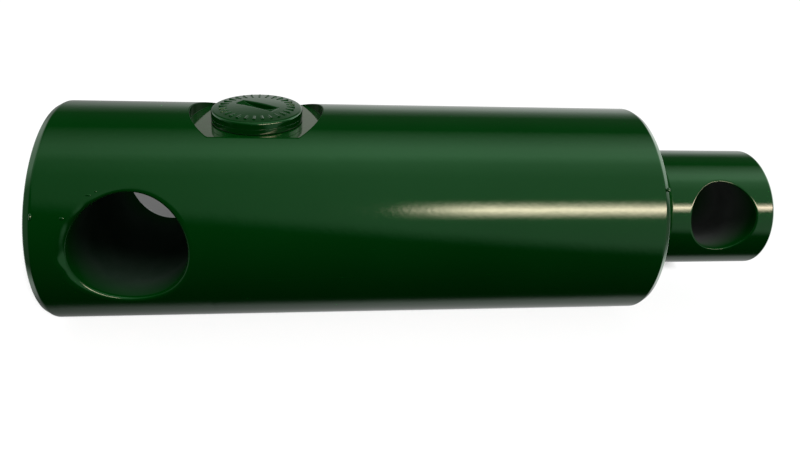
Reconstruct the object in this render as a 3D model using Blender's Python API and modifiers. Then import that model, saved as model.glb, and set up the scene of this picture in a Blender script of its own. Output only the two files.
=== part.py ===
"""Two-stage telescopic hydraulic cylinder, drawn in, lying along +X with its port on top.

The origin is the centre of the base pin bore, and the rod leaves the barrel towards +X.
Sizes are in metres. Diameters are built from the rod outwards, and lengths from the base
towards the rod, so that each piece follows the one that it fits.
"""

import math

import bpy

# Clearances
SEAT_GAP = 0.0003
RUNNING_GAP = 0.0003
LAND_GAP = 0.0008
PASSING_GAP = 0.0012

# Diameters and walls, from the rod outwards
ROD_DIAMETER = 0.046
ROD_GUIDE_STEP = 0.0035
STAGE_WALL = 0.004
STAGE_GUIDE_STEP = 0.0055
BARREL_WALL = 0.004

# Base, with its pin bore
BASE_PIN_BORE = 0.0384
BASE_EYE_WALL = 0.0133
SPIGOT_LENGTH = 0.006
OIL_SLOT_WIDTH = 0.008
OIL_SLOT_DEPTH = 0.003

# Port and plug; the port stands a little round from square with the pin bore
PORT_TURN = math.radians(4)
PORT_TO_PIN_BORE = 0.0201
PORT_TO_WELD = 0.0027
PORT_SEAT_DEPTH = 0.0044
PORT_SEAT_DIAMETER = 0.048
PORT_THREAD = 0.0264
PORT_THREAD_DEPTH = 0.018
OIL_PASSAGE = 0.010
WASHER_THICKNESS = 0.0016
WASHER_WIDTH = 0.00305
PLUG_HEAD_DIAMETER = 0.0331
PLUG_HEAD_HEIGHT = 0.0028
PLUG_HEAD_ROUND = 0.001
PLUG_SHANK_LENGTH = 0.013
PLUG_SLOT_WIDTH = 0.0046
PLUG_SLOT_DEPTH = 0.0022
PLUG_SLOT_DISC = 0.032
PLUG_SLOT_TURN = math.radians(-32)

# Strokes and stand-outs
STAGE_STROKE = 0.0566
STAGE_STANDOUT = 0.003
ROD_STANDOUT = 0.0518

# Rod eye
ROD_PIN_BORE = 0.0265
ROD_EYE_WALL = 0.00795
ROD_TURN = math.radians(-10.7)

# Guides and snap ring at the feet of the stages
GUIDE_LENGTH = 0.012
GUIDE_GROOVE_DEPTH = 0.002
GUIDE_SPLIT = 0.0015
FOOT_LIP = 0.003
SNAP_WIDTH = 0.002
SNAP_GROOVE_DEPTH = 0.0015
SNAP_GAP = 0.009

# Heads: lands, grooves and the rings in them
LAND = 0.0025
BAND_WIDTH = 0.009
BAND_THICKNESS = 0.0025
BAND_SPLIT = 0.001
SEAL_GROOVE_DEPTH = 0.004
LIP_SEAL_LENGTH = 0.006
LIP_THICKNESS = 0.0009
LIP_CUP_DEPTH = 0.003
LIP_RELIEF = 0.0005
BACKUP_WIDTH = 0.0015
WIPER_POCKET_LENGTH = 0.006
WIPER_SECTION = 0.0026
WIPER_LIP_STANDOUT = 0.0008
WIPER_SHOULDER = 0.0022
GLAND_THREAD_STEP = 0.001
GLAND_THREAD_LENGTH = 0.018
O_RING_CORD = 0.0024
SPANNER_SLOT_WIDTH = 0.006
SPANNER_SLOT_DEPTH = 0.003

# Edges and facets
RIM_BREAK = 0.0014
EDGE_BREAK = 0.0008
ROUND_STEPS = 44
CORD_STEPS = 8
HEAD_ROUND_STEPS = 3
MERGE_DISTANCE = 0.00001
CUT_MARGIN = 0.005

# Radii that follow
ROD_RADIUS = ROD_DIAMETER / 2
STAGE_BORE_RADIUS = ROD_RADIUS + ROD_GUIDE_STEP
STAGE_RADIUS = STAGE_BORE_RADIUS + STAGE_WALL
BARREL_BORE_RADIUS = STAGE_RADIUS + STAGE_GUIDE_STEP
BARREL_RADIUS = BARREL_BORE_RADIUS + BARREL_WALL
GLAND_THREAD_RADIUS = BARREL_BORE_RADIUS + GLAND_THREAD_STEP

# Places along X that follow, from the base towards the rod
PORT_X = BASE_PIN_BORE / 2 + PORT_TO_PIN_BORE
BASE_FACE = -(BASE_PIN_BORE / 2 + BASE_EYE_WALL)
BASE_SHOULDER = PORT_X + PORT_SEAT_DIAMETER / 2 + PORT_TO_WELD
BORE_BOTTOM = BASE_SHOULDER + SPIGOT_LENGTH
STAGE_FOOT = BORE_BOTTOM + SEAT_GAP
SNAP_LOW = STAGE_FOOT + FOOT_LIP + SEAT_GAP
SNAP_HIGH = SNAP_LOW + SNAP_WIDTH
STAGE_GUIDE_LOW = SNAP_HIGH + SEAT_GAP + FOOT_LIP + SEAT_GAP
STAGE_GUIDE_HIGH = STAGE_GUIDE_LOW + GUIDE_LENGTH
ROD_GUIDE_LOW = SNAP_HIGH + SEAT_GAP
ROD_GUIDE_HIGH = ROD_GUIDE_LOW + GUIDE_LENGTH
ROD_FOOT = ROD_GUIDE_LOW - SEAT_GAP - FOOT_LIP
BAND_GROOVE = BAND_WIDTH + 2 * SEAT_GAP
SEAL_GROOVE = LIP_SEAL_LENGTH + BACKUP_WIDTH + 3 * SEAT_GAP
O_RING_GROOVE = O_RING_CORD + 2 * SEAT_GAP
HEAD_LENGTH = LAND + BAND_GROOVE + LAND + SEAL_GROOVE + LAND + WIPER_POCKET_LENGTH
GLAND_FOOT = STAGE_GUIDE_HIGH + SEAT_GAP + STAGE_STROKE
O_RING_LOW = GLAND_FOOT + LAND
O_RING_HIGH = O_RING_LOW + O_RING_GROOVE
MOUTH = O_RING_HIGH + HEAD_LENGTH
GLAND_THREAD_FOOT = MOUTH - GLAND_THREAD_LENGTH
STAGE_FACE = MOUTH + STAGE_STANDOUT
STAGE_SHOULDER = STAGE_FACE - HEAD_LENGTH
ROD_FACE = MOUTH + ROD_STANDOUT
ROD_PIN_X = ROD_FACE - ROD_EYE_WALL - ROD_PIN_BORE / 2

# Heights at the port that follow
PORT_FLOOR = BARREL_RADIUS - PORT_SEAT_DEPTH
WASHER_LOW = PORT_FLOOR + SEAT_GAP
WASHER_HIGH = WASHER_LOW + WASHER_THICKNESS
PLUG_HEAD_LOW = WASHER_HIGH + SEAT_GAP
PLUG_TOP = PLUG_HEAD_LOW + PLUG_HEAD_HEIGHT
PLUG_FOOT = PLUG_HEAD_LOW - PLUG_SHANK_LENGTH
PLUG_SHANK_RADIUS = PORT_THREAD / 2
PORT_HOLE_RADIUS = PLUG_SHANK_RADIUS + SEAT_GAP


def clear_scene():
    for thing in list(bpy.data.objects):
        bpy.data.objects.remove(thing)


def new_collection(name):
    collection = bpy.data.collections.new(name)
    bpy.context.scene.collection.children.link(collection)
    return collection


def finish(name, colour, roughness, metallic=0.0):
    """A plain surface: linear colour, roughness and how metallic it is."""
    material = bpy.data.materials.new(name)
    material.use_nodes = True
    surface = material.node_tree.nodes["Principled BSDF"]
    surface.inputs["Base Color"].default_value = (*colour, 1.0)
    surface.inputs["Roughness"].default_value = roughness
    surface.inputs["Metallic"].default_value = metallic
    return material


def axis_empty(name, place=(0, 0, 0), turn=0.0):
    """The axis that a moving group sits on, turned about X."""
    empty = bpy.data.objects.new(name, None)
    empty.location = place
    empty.rotation_euler.x = turn
    empty.empty_display_size = ROD_RADIUS
    PARTS.objects.link(empty)
    return empty


def turned_object(name, profile, ring):
    """A profile of (radius, height) points, down the outer side, swept round Z.

    A ring's profile is closed. A solid's profile starts and ends on the axis.
    """
    count = len(profile)
    edges = [(i, i + 1) for i in range(count - 1)]
    if ring:
        edges.append((count - 1, 0))
    mesh = bpy.data.meshes.new(name)
    mesh.from_pydata([(radius, 0, height) for radius, height in profile], edges, [])
    piece = bpy.data.objects.new(name, mesh)
    screw = piece.modifiers.new("turning", "SCREW")
    screw.axis = "Z"
    screw.angle = math.tau
    screw.steps = ROUND_STEPS
    screw.render_steps = ROUND_STEPS
    screw.use_merge_vertices = True
    screw.merge_threshold = MERGE_DISTANCE
    screw.use_smooth_shade = True
    return piece


def turned(name, profile, axis, material, ring=True, upright=False):
    """A turned piece on an axis: along X, or along Z where it stands upright."""
    piece = turned_object(name, profile, ring)
    piece.parent = axis
    if not upright:
        piece.rotation_euler.y = math.pi / 2
    piece.data.materials.append(material)
    PARTS.objects.link(piece)
    return piece


def as_cutter(cutter, axis):
    for owner in list(cutter.users_collection):
        owner.objects.unlink(cutter)
    CUTTERS.objects.link(cutter)
    cutter.parent = axis
    cutter.hide_render = True
    cutter.display_type = "WIRE"
    return cutter


def cylinder_cutter(name, diameter, length, axis, centre=(0, 0, 0), rotation=(0, 0, 0)):
    bpy.ops.mesh.primitive_cylinder_add(
        vertices=ROUND_STEPS, radius=diameter / 2, depth=length, location=centre, rotation=rotation
    )
    cutter = bpy.context.object
    cutter.name = name
    cutter.data.shade_smooth()
    return as_cutter(cutter, axis)


def box_cutter(name, low, high, axis, turn=0.0):
    """A box between two corners, turned about X through the axis."""
    bpy.ops.mesh.primitive_cube_add(size=1)
    cutter = bpy.context.object
    cutter.name = name
    middle = [(a + b) / 2 for a, b in zip(low, high)]
    size = [b - a for a, b in zip(low, high)]
    for vertex in cutter.data.vertices:
        vertex.co = [place + at * span for place, at, span in zip(middle, vertex.co, size)]
    cutter.rotation_euler.x = turn
    return as_cutter(cutter, axis)


def cut(piece, *cutters):
    for cutter in cutters:
        boolean = piece.modifiers.new(cutter.name, "BOOLEAN")
        boolean.operation = "DIFFERENCE"
        boolean.object = cutter
        boolean.solver = "EXACT"


def even_shading(piece):
    """Flat and round faces keep their own shading where they meet."""
    normals = piece.modifiers.new("shading", "WEIGHTED_NORMAL")
    normals.weight = 100


def ring_profile(inner, outer, low, high):
    return [(inner, high), (outer, high), (outer, low), (inner, low)]


def groove(land_radius, floor_radius, low, high):
    """The four corners of a groove, going up a wall."""
    return [(land_radius, low), (floor_radius, low), (floor_radius, high), (land_radius, high)]


class Head:
    """Where the grooves of a head lie, for the face it ends at and the radius that slides in it."""

    def __init__(self, face, slide):
        self.slide = slide
        self.face = face
        self.lip = slide + RUNNING_GAP
        self.land = slide + LAND_GAP
        self.pocket_low = face - WIPER_POCKET_LENGTH
        self.pocket_radius = self.lip + WIPER_SECTION + SEAT_GAP
        self.seal_high = self.pocket_low - LAND
        self.seal_low = self.seal_high - SEAL_GROOVE
        self.seal_radius = slide + SEAL_GROOVE_DEPTH
        self.band_high = self.seal_low - LAND
        self.band_low = self.band_high - BAND_GROOVE
        self.band_radius = self.lip + BAND_THICKNESS + SEAT_GAP

    def bore(self, foot):
        """The head's inner wall, from its foot up to its face."""
        return [
            (self.land, foot),
            *groove(self.land, self.band_radius, self.band_low, self.band_high),
            *groove(self.land, self.seal_radius, self.seal_low, self.seal_high),
            (self.land, self.pocket_low),
            (self.pocket_radius, self.pocket_low),
            (self.pocket_radius, self.face),
        ]


def base_block():
    """Solid base: spigot for the tube, cross bore for the pin, sunk port and the drillings from it."""
    spigot = BARREL_BORE_RADIUS - SEAT_GAP
    profile = [
        (0, BORE_BOTTOM),
        (spigot - EDGE_BREAK, BORE_BOTTOM),
        (spigot, BORE_BOTTOM - EDGE_BREAK),
        (spigot, BASE_SHOULDER),
        (BARREL_RADIUS, BASE_SHOULDER),
        (BARREL_RADIUS, BASE_FACE + RIM_BREAK),
        (BARREL_RADIUS - RIM_BREAK, BASE_FACE),
        (0, BASE_FACE),
    ]
    base = turned("base_block", profile, BARREL_AXIS, GREEN_BASE, ring=False)
    through = 2 * (BARREL_RADIUS + CUT_MARGIN)
    pin_bore = cylinder_cutter(
        "base_pin_bore", BASE_PIN_BORE, through, BARREL_AXIS, rotation=(math.pi / 2, 0, 0)
    )
    passage_length = BORE_BOTTOM + CUT_MARGIN - PORT_X
    passage = cylinder_cutter(
        "oil_passage",
        OIL_PASSAGE,
        passage_length,
        BARREL_AXIS,
        centre=(PORT_X + passage_length / 2, 0, 0),
        rotation=(0, math.pi / 2, 0),
    )
    reach = spigot + CUT_MARGIN
    oil_slot = box_cutter(
        "oil_slot",
        (BORE_BOTTOM - OIL_SLOT_DEPTH, -OIL_SLOT_WIDTH / 2, -reach),
        (BORE_BOTTOM + CUT_MARGIN, OIL_SLOT_WIDTH / 2, reach),
        BARREL_AXIS,
    )
    cut(base, pin_bore, port_cutter(), passage, oil_slot)


def port_cutter():
    """Sunk seat, thread and drilling of the port, in one turned cutter."""
    seat = PORT_SEAT_DIAMETER / 2
    drill = OIL_PASSAGE / 2
    thread_foot = PORT_FLOOR - PORT_THREAD_DEPTH
    profile = [
        (0, BARREL_RADIUS + CUT_MARGIN),
        (seat, BARREL_RADIUS + CUT_MARGIN),
        (seat, PORT_FLOOR),
        (PORT_HOLE_RADIUS, PORT_FLOOR),
        (PORT_HOLE_RADIUS, thread_foot),
        (drill, thread_foot),
        (drill, -drill),
        (0, -drill),
    ]
    return as_cutter(turned_object("port", profile, ring=False), PORT_AXIS)


def barrel_tube():
    """Tube over the base's spigot, opened at its mouth for the gland's thread."""
    foot = BASE_SHOULDER + SEAT_GAP
    profile = [
        (GLAND_THREAD_RADIUS, MOUTH),
        (BARREL_RADIUS - RIM_BREAK, MOUTH),
        (BARREL_RADIUS, MOUTH - RIM_BREAK),
        (BARREL_RADIUS, foot),
        (BARREL_BORE_RADIUS, foot),
        (BARREL_BORE_RADIUS, GLAND_THREAD_FOOT),
        (GLAND_THREAD_RADIUS, GLAND_THREAD_FOOT),
    ]
    turned("barrel_tube", profile, BARREL_AXIS, GREEN_TUBE)


def barrel_gland(head):
    """Ring screwed into the mouth: seals and guides the stage, and stops it at full stroke."""
    thread = GLAND_THREAD_RADIUS - SEAT_GAP
    body = BARREL_BORE_RADIUS - SEAT_GAP
    shoulder = GLAND_THREAD_FOOT + SEAT_GAP
    o_ring_floor = body - O_RING_CORD - SEAT_GAP
    profile = [
        (thread, MOUTH),
        (thread, shoulder),
        (body, shoulder),
        *reversed(groove(body, o_ring_floor, O_RING_LOW, O_RING_HIGH)),
        (body, GLAND_FOOT),
        *head.bore(GLAND_FOOT),
    ]
    gland = turned("barrel_gland", profile, BARREL_AXIS, GREEN_GLAND)
    half = SPANNER_SLOT_WIDTH / 2
    reach = GLAND_THREAD_RADIUS + CUT_MARGIN
    for name, turn in (("spanner_slot_flat", 0.0), ("spanner_slot_upright", math.pi / 2)):
        slot = box_cutter(
            name,
            (MOUTH - SPANNER_SLOT_DEPTH, -reach, -half),
            (MOUTH + CUT_MARGIN, reach, half),
            BARREL_AXIS,
            turn,
        )
        cut(gland, slot)


def gland_o_ring():
    cord = O_RING_CORD / 2
    radius = BARREL_BORE_RADIUS - SEAT_GAP - cord
    middle = (O_RING_LOW + O_RING_HIGH) / 2
    angles = [-math.tau * (i + 0.5) / CORD_STEPS for i in range(CORD_STEPS)]
    profile = [(radius + cord * math.cos(a), middle + cord * math.sin(a)) for a in angles]
    turned("gland_o_ring", profile, BARREL_AXIS, BLACK_RUBBER)


def stage_tube(head):
    """Hollow stage: grooved foot for its guides and the snap ring, grooved head for the rod's seals."""
    guide_floor = STAGE_RADIUS - GUIDE_GROOVE_DEPTH
    snap_floor = STAGE_BORE_RADIUS + SNAP_GROOVE_DEPTH
    guide_groove = groove(
        STAGE_RADIUS, guide_floor, STAGE_GUIDE_LOW - SEAT_GAP, STAGE_GUIDE_HIGH + SEAT_GAP
    )
    profile = [
        (STAGE_RADIUS - EDGE_BREAK, STAGE_FACE),
        (STAGE_RADIUS, STAGE_FACE - EDGE_BREAK),
        *reversed(guide_groove),
        (STAGE_RADIUS, STAGE_FOOT + EDGE_BREAK),
        (STAGE_RADIUS - EDGE_BREAK, STAGE_FOOT),
        (STAGE_BORE_RADIUS, STAGE_FOOT),
        *groove(STAGE_BORE_RADIUS, snap_floor, SNAP_LOW - SEAT_GAP, SNAP_HIGH + SEAT_GAP),
        (STAGE_BORE_RADIUS, STAGE_SHOULDER),
        *head.bore(STAGE_SHOULDER),
    ]
    turned("stage_tube", profile, STAGE_AXIS, GROUND_STEEL)


def stage_snap_ring():
    """Open ring in the stage's foot, which the rod's guides sit on when drawn in."""
    outer = STAGE_BORE_RADIUS + SNAP_GROOVE_DEPTH - SEAT_GAP
    inner = ROD_RADIUS + PASSING_GAP
    ring = turned(
        "stage_snap_ring", ring_profile(inner, outer, SNAP_LOW, SNAP_HIGH), STAGE_AXIS, SPRING_STEEL
    )
    opening = box_cutter(
        "snap_ring_opening",
        (SNAP_LOW - CUT_MARGIN, -SNAP_GAP / 2, 0),
        (SNAP_HIGH + CUT_MARGIN, SNAP_GAP / 2, outer + CUT_MARGIN),
        STAGE_AXIS,
    )
    cut(ring, opening)


def rod():
    """Solid rod with its pin bore, grooved at the foot for its guides."""
    guide_groove = groove(
        ROD_RADIUS,
        ROD_RADIUS - GUIDE_GROOVE_DEPTH,
        ROD_GUIDE_LOW - SEAT_GAP,
        ROD_GUIDE_HIGH + SEAT_GAP,
    )
    profile = [
        (0, ROD_FACE),
        (ROD_RADIUS - RIM_BREAK, ROD_FACE),
        (ROD_RADIUS, ROD_FACE - RIM_BREAK),
        *reversed(guide_groove),
        (ROD_RADIUS, ROD_FOOT + EDGE_BREAK),
        (ROD_RADIUS - EDGE_BREAK, ROD_FOOT),
        (0, ROD_FOOT),
    ]
    plunger = turned("rod", profile, ROD_AXIS, GREEN_ROD, ring=False)
    pin_bore = cylinder_cutter(
        "rod_pin_bore",
        ROD_PIN_BORE,
        2 * (ROD_RADIUS + CUT_MARGIN),
        ROD_AXIS,
        centre=(ROD_PIN_X, 0, 0),
        rotation=(math.pi / 2, 0, 0),
    )
    cut(plunger, pin_bore)


def guide_halves(prefix, slide, bore, low, axis):
    """Two half rings in a foot's groove, parted on the upright plane."""
    inner = slide - GUIDE_GROOVE_DEPTH + SEAT_GAP
    outer = bore - RUNNING_GAP
    high = low + GUIDE_LENGTH
    reach = outer + CUT_MARGIN
    for side, way in (("near", -1), ("far", 1)):
        half = turned(
            f"{prefix}_{side}", ring_profile(inner, outer, low, high), axis, BRONZE
        )
        kept_edge = way * GUIDE_SPLIT / 2
        away = sorted((-way * reach, kept_edge))
        other_half = box_cutter(
            f"{prefix}_{side}_split",
            (low - CUT_MARGIN, away[0], -reach),
            (high + CUT_MARGIN, away[1], reach),
            axis,
        )
        cut(half, other_half)


def guide_band(prefix, head, axis):
    """Bearing strip bent round into its groove, with a straight split at the top."""
    low = head.band_low + SEAT_GAP
    high = low + BAND_WIDTH
    outer = head.band_radius - SEAT_GAP
    band = turned(
        f"{prefix}_guide_band", ring_profile(head.lip, outer, low, high), axis, BAND_RESIN
    )
    split = box_cutter(
        f"{prefix}_band_split",
        (low - CUT_MARGIN, -BAND_SPLIT / 2, 0),
        (high + CUT_MARGIN, BAND_SPLIT / 2, outer + CUT_MARGIN),
        axis,
    )
    cut(band, split)


def lip_seal(prefix, head, axis):
    """U-cup: two lips that open towards the oil, and a heel that bears on the backup ring."""
    inner = head.lip
    outer = head.seal_radius - SEAT_GAP
    low = head.seal_low + SEAT_GAP
    high = low + LIP_SEAL_LENGTH
    cup = low + LIP_CUP_DEPTH
    profile = [
        (inner + LIP_RELIEF, high),
        (outer, high),
        (outer, low),
        (outer - LIP_THICKNESS, low),
        ((inner + outer) / 2, cup),
        (inner + LIP_THICKNESS, low),
        (inner, low),
        (inner, cup),
        (inner + LIP_RELIEF, cup + LIP_RELIEF),
    ]
    turned(f"{prefix}_lip_seal", profile, axis, SEAL_POLYURETHANE)


def backup_ring(prefix, head, axis):
    high = head.seal_high - SEAT_GAP
    outer = head.seal_radius - SEAT_GAP
    profile = ring_profile(head.lip, outer, high - BACKUP_WIDTH, high)
    turned(f"{prefix}_backup_ring", profile, axis, BACKUP_RESIN)


def wiper(prefix, head, axis):
    """Scraper in the head's open pocket: its lip leans outwards, past the face."""
    outer = head.pocket_radius - SEAT_GAP
    low = head.pocket_low + SEAT_GAP
    tip = head.face + WIPER_LIP_STANDOUT
    shoulder = head.face - WIPER_SHOULDER
    profile = [
        (head.lip, tip),
        (head.lip + LIP_THICKNESS, tip),
        (outer, shoulder),
        (outer, low),
        (head.lip + LIP_RELIEF, low),
        (head.lip + LIP_RELIEF, shoulder),
    ]
    turned(f"{prefix}_wiper", profile, axis, WIPER_RUBBER)


def port_plug():
    """Screw plug with a rounded head and a coin slot sawn by a disc."""
    head = PLUG_HEAD_DIAMETER / 2
    bend = PLUG_HEAD_ROUND
    angles = [math.pi / 2 * (1 - i / HEAD_ROUND_STEPS) for i in range(HEAD_ROUND_STEPS + 1)]
    rounded = [
        (head - bend + bend * math.cos(a), PLUG_TOP - bend + bend * math.sin(a)) for a in angles
    ]
    profile = [
        (0, PLUG_TOP),
        *rounded,
        (head, PLUG_HEAD_LOW),
        (PLUG_SHANK_RADIUS, PLUG_HEAD_LOW),
        (PLUG_SHANK_RADIUS, PLUG_FOOT + EDGE_BREAK),
        (PLUG_SHANK_RADIUS - EDGE_BREAK, PLUG_FOOT),
        (0, PLUG_FOOT),
    ]
    plug = turned("port_plug", profile, PORT_AXIS, GREEN_PLUG, ring=False, upright=True)
    disc = cylinder_cutter(
        "plug_slot",
        PLUG_SLOT_DISC,
        PLUG_SLOT_WIDTH,
        PORT_AXIS,
        centre=(0, 0, PLUG_TOP - PLUG_SLOT_DEPTH + PLUG_SLOT_DISC / 2),
        rotation=(math.pi / 2, 0, PLUG_SLOT_TURN),
    )
    cut(plug, disc)


def port_seal():
    """Washer round the thread, with a width of its own."""
    outer = PORT_HOLE_RADIUS + WASHER_WIDTH
    profile = ring_profile(PORT_HOLE_RADIUS, outer, WASHER_LOW, WASHER_HIGH)
    turned("port_seal", profile, PORT_AXIS, GREEN_WASHER, upright=True)


clear_scene()
PARTS = new_collection("telescopic_cylinder")
CUTTERS = new_collection("cutters")

GREEN_BASE = finish("green_enamel_base", (0.010, 0.062, 0.018), 0.22)
GREEN_TUBE = finish("green_enamel_tube", (0.010, 0.062, 0.018), 0.22)
GREEN_GLAND = finish("green_enamel_gland", (0.010, 0.058, 0.017), 0.26)
GREEN_ROD = finish("green_enamel_rod", (0.010, 0.062, 0.018), 0.22)
GREEN_PLUG = finish("green_enamel_plug", (0.012, 0.066, 0.022), 0.25)
GREEN_WASHER = finish("green_enamel_washer", (0.012, 0.058, 0.020), 0.30)
GROUND_STEEL = finish("ground_chromed_steel", (0.56, 0.57, 0.58), 0.18, 1.0)
SPRING_STEEL = finish("spring_steel", (0.16, 0.15, 0.15), 0.40, 1.0)
BRONZE = finish("bronze_guide", (0.42, 0.27, 0.11), 0.35, 1.0)
BAND_RESIN = finish("guide_band_resin", (0.28, 0.12, 0.06), 0.55)
BACKUP_RESIN = finish("backup_ring_resin", (0.72, 0.70, 0.64), 0.45)
SEAL_POLYURETHANE = finish("seal_polyurethane", (0.04, 0.16, 0.36), 0.35)
WIPER_RUBBER = finish("wiper_rubber", (0.012, 0.013, 0.012), 0.50)
BLACK_RUBBER = finish("o_ring_rubber", (0.010, 0.010, 0.010), 0.45)

BARREL_AXIS = axis_empty("barrel_axis")
STAGE_AXIS = axis_empty("stage_axis")
ROD_AXIS = axis_empty("rod_axis", turn=ROD_TURN)
PORT_AXIS = axis_empty("port_axis", place=(PORT_X, 0, 0), turn=PORT_TURN)

GLAND_HEAD = Head(MOUTH, STAGE_RADIUS)
STAGE_HEAD = Head(STAGE_FACE, ROD_RADIUS)

base_block()
barrel_tube()
barrel_gland(GLAND_HEAD)
gland_o_ring()
stage_tube(STAGE_HEAD)
stage_snap_ring()
rod()
guide_halves("stage_guide", STAGE_RADIUS, BARREL_BORE_RADIUS, STAGE_GUIDE_LOW, STAGE_AXIS)
guide_halves("rod_guide", ROD_RADIUS, STAGE_BORE_RADIUS, ROD_GUIDE_LOW, STAGE_AXIS)
for group, group_head, group_axis in (
    ("gland", GLAND_HEAD, BARREL_AXIS),
    ("stage", STAGE_HEAD, STAGE_AXIS),
):
    guide_band(group, group_head, group_axis)
    lip_seal(group, group_head, group_axis)
    backup_ring(group, group_head, group_axis)
    wiper(group, group_head, group_axis)
port_plug()
port_seal()
for part in PARTS.objects:
    if part.type == "MESH":
        even_shading(part)

ROD_STROKE = STAGE_SHOULDER - ROD_GUIDE_HIGH - SEAT_GAP
print(f"stage stroke {STAGE_STROKE:.4f} m, rod stroke {ROD_STROKE:.4f} m")
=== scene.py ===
"""Looks of the two-stage telescopic cylinder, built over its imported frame.

Sizes are in metres, in the frame's axes: +X towards the rod, +Z up.
The photograph is taken from -Y, so the near side of the object is the one at -Y. The port leans to it.
"""

import math
from functools import partial

import bmesh
import bpy
import numpy as np
from mathutils import Matrix, Vector


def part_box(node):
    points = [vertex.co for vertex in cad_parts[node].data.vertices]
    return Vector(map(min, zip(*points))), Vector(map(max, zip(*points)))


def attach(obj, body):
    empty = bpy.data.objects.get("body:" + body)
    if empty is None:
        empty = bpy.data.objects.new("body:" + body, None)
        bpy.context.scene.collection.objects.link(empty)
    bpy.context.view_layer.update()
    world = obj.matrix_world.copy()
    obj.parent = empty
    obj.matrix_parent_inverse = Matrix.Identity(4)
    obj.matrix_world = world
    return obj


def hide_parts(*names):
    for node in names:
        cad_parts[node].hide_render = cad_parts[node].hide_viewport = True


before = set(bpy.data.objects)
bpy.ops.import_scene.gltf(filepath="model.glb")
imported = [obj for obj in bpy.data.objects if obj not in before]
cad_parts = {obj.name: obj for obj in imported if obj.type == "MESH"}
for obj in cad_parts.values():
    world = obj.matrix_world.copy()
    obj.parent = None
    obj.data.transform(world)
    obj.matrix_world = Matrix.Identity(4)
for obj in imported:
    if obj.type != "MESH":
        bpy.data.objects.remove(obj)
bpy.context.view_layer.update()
scene = bpy.context.scene
scene.view_settings.view_transform = "Standard"

# Camera, fitted to the outlines in the photograph
IMAGE_WIDTH = 800
SENSOR_WIDTH = 36.0
FOCAL_PIXELS = 698.99
CAMERA_AZIMUTH = math.radians(-7.071)
CAMERA_ELEVATION = math.radians(15.767)
CAMERA_ROLL = math.radians(2.667)
CAMERA_DISTANCE = 0.2679
CAMERA_AIM = Vector((0.09284, 0.0, 0.03461))
CAMERA_SHIFT = -0.1286

# Places and sizes read from the frame
BASE_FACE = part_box("base_block")[0].x
BORE_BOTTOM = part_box("base_block")[1].x
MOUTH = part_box("barrel_tube")[1].x
BARREL_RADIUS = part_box("barrel_tube")[1].y
GLAND_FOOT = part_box("barrel_gland")[0].x
GLAND_THREAD_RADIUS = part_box("barrel_gland")[1].y
STAGE_FOOT, STAGE_FACE = (corner.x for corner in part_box("stage_tube"))
STAGE_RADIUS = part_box("stage_tube")[1].y
ROD_FOOT, ROD_FACE = (corner.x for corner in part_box("rod"))
PORT_X = sum(corner.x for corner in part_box("port_plug")) / 2
PLUG_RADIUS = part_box("port_plug")[1].x - PORT_X
WASHER_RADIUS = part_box("port_seal")[1].x - PORT_X

# Sizes that the boxes do not show
SEAT_GAP = 0.0003
BARREL_BORE = 0.036
BARREL_COUNTERBORE = 0.037
GLAND_THREAD_LENGTH = 0.018
ROD_RADIUS = 0.023
ROD_TURN = math.radians(-10.7)
BASE_PIN_BORE = 0.0192
BASE_PIN_LIP = 0.002
BASE_PIN_MARGIN = 0.0265
ROD_PIN_BORE = 0.01325
ROD_PIN_LIP = 0.0009
ROD_PIN_MARGIN = 0.0172
ROD_PIN_X = 0.2177
PORT_TURN = math.radians(4)
PORT_SEAT_RADIUS = 0.024
PORT_FLOOR = 0.0356
PORT_HOLE_RADIUS = 0.0135
PORT_HOLE_FOOT = PORT_FLOOR - 0.018
WASHER_LOW = PORT_FLOOR + SEAT_GAP
WASHER_HIGH = WASHER_LOW + 0.0016
HEAD_LOW = WASHER_HIGH + SEAT_GAP
PLUG_TOP = HEAD_LOW + 0.0028
PLUG_FOOT = HEAD_LOW - 0.013
OIL_PASSAGE = 0.005
THREAD_PITCH = 0.001814
THREAD_HEIGHT = 0.0009
HEAD_ROUND = 0.001
SLOT_TURN = math.radians(-32)
SLOT_HALF_WIDTH = 0.0023
SLOT_DEPTH = 0.0022
SLOT_DISC_RADIUS = 0.016
HEAD_CROWN = 0.001
HEAD_RISE = 0.0008
GUIDE_GROOVE = 0.0126
GUIDE_DEPTH = 0.002
FOOT_LIP = 0.003
SNAP_GROOVE = 0.0026
SNAP_DEPTH = 0.0015
STAGE_BORE = 0.0265
STAGE_SHOULDER = STAGE_FACE - 0.0315
BASE_RIM = (0.0026, 0.0015)
MOUTH_RIM = (0.0019, 0.0011)
ROD_RIM = (0.0012, 0.001)
BARREL_RIM_STRIP = 0.001
ROD_RIM_STRIP = 0.0006
FACE_RING = 0.6
EDGE_BREAK = 0.0008

# Grooves in a head, from its face inwards: their lengths along X, and their floors beyond what slides there
POCKET = (0.006, 0.0032)
SEAL_GROOVE = (0.0084, 0.004)
BAND_GROOVE = (0.0096, 0.0031)
LAND = 0.0025
LAND_GAP = 0.0008

# Fineness of the meshes
QUARTER_STEPS = 48
ROW_STEP = 0.0016
PATCH_LAYERS = 10
PATCH_CROWDING = 1.5
CORNER_STEPS = 5
WEAR_STEPS = 2
BORE_ROWS = 16
FLOOR_ROWS = 8
HEAD_ROWS = 9
WELD_DISTANCE = 0.000002


def linear(hex_colour):
    """An sRGB hex colour as linear red, green, blue and full alpha."""
    channels = [int(hex_colour[i:i + 2], 16) / 255 for i in (1, 3, 5)]
    return (*[c / 12.92 if c <= 0.04045 else ((c + 0.055) / 1.055) ** 2.4 for c in channels], 1.0)


def set_inputs(node, inputs):
    """Sets or links each input of a node, given by name or number."""
    for socket, value in inputs.items():
        if isinstance(value, bpy.types.NodeSocket):
            node.id_data.links.new(value, node.inputs[socket])
        else:
            node.inputs[socket].default_value = value


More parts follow.
